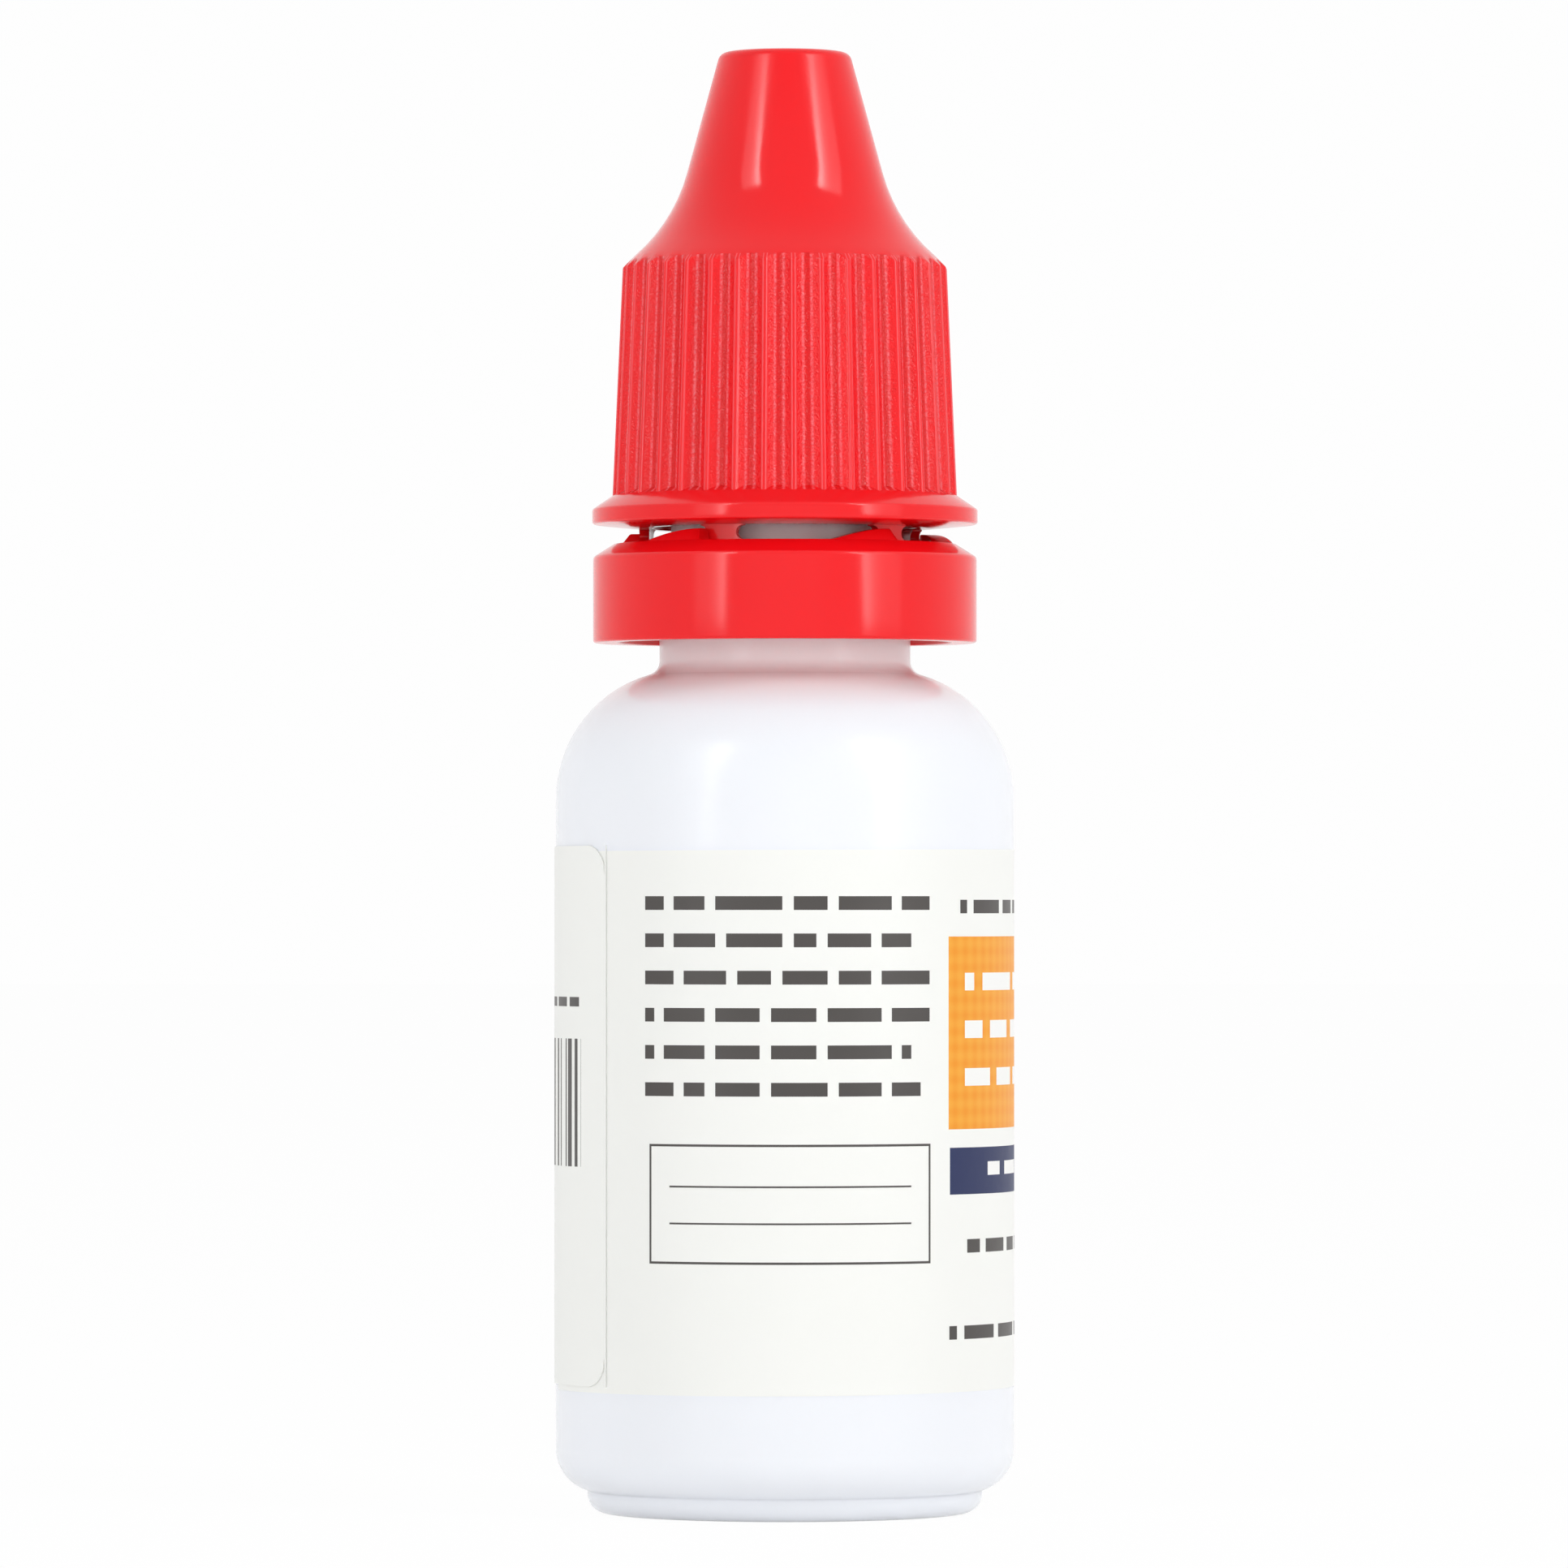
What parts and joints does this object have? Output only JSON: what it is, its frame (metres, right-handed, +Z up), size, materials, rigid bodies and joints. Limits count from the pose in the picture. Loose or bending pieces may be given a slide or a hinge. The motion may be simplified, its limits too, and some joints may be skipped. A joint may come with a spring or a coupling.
{
  "type": "eye drop bottle",
  "caption": "Round translucent squeeze bottle with a dropper tip under a ribbed red screw cap, a tamper ring on the neck and a wraparound label.",
  "frame": {"origin": "centre of the bottle's foot, on the surface it stands on", "axes": "+Z up along the bottle's axis, -Y towards the front that the picture shows, +X to the right in the picture"},
  "size_m": [0.0255, 0.0254, 0.0806],
  "materials": {
    "bottle_plastic": "satin",
    "tip_plastic": "satin",
    "cap_plastic": "gloss",
    "ring_plastic": "gloss",
    "bridge_plastic": "gloss",
    "label_film": "satin",
    "drops": "gloss"
  },
  "bodies": {
    "bottle": {"bottle": "bottle_plastic", "dropper_tip": "tip_plastic", "label": "label_film", "liquid": "drops"},
    "tamper_band": {"tamper_ring": "ring_plastic", "frangible_bridges": "bridge_plastic"},
    "cap": {"screw_cap": "cap_plastic"}
  },
  "joints": [
    {"name": "cap_turn", "type": "hinge", "parent": "bottle", "child": "tamper_band", "pos_m": [0, 0, 0.054], "axis": [0, 0, 1], "range_deg": [0, 3420]},
    {"name": "cap_lift", "type": "slide", "parent": "tamper_band", "child": "cap", "axis": [0, 0, 1], "range_m": [0, 0.0242]}
  ],
  "couplings": [
    {"joint": "cap_lift", "follows": "cap_turn", "m_per_rad": 0.00040425}
  ]
}
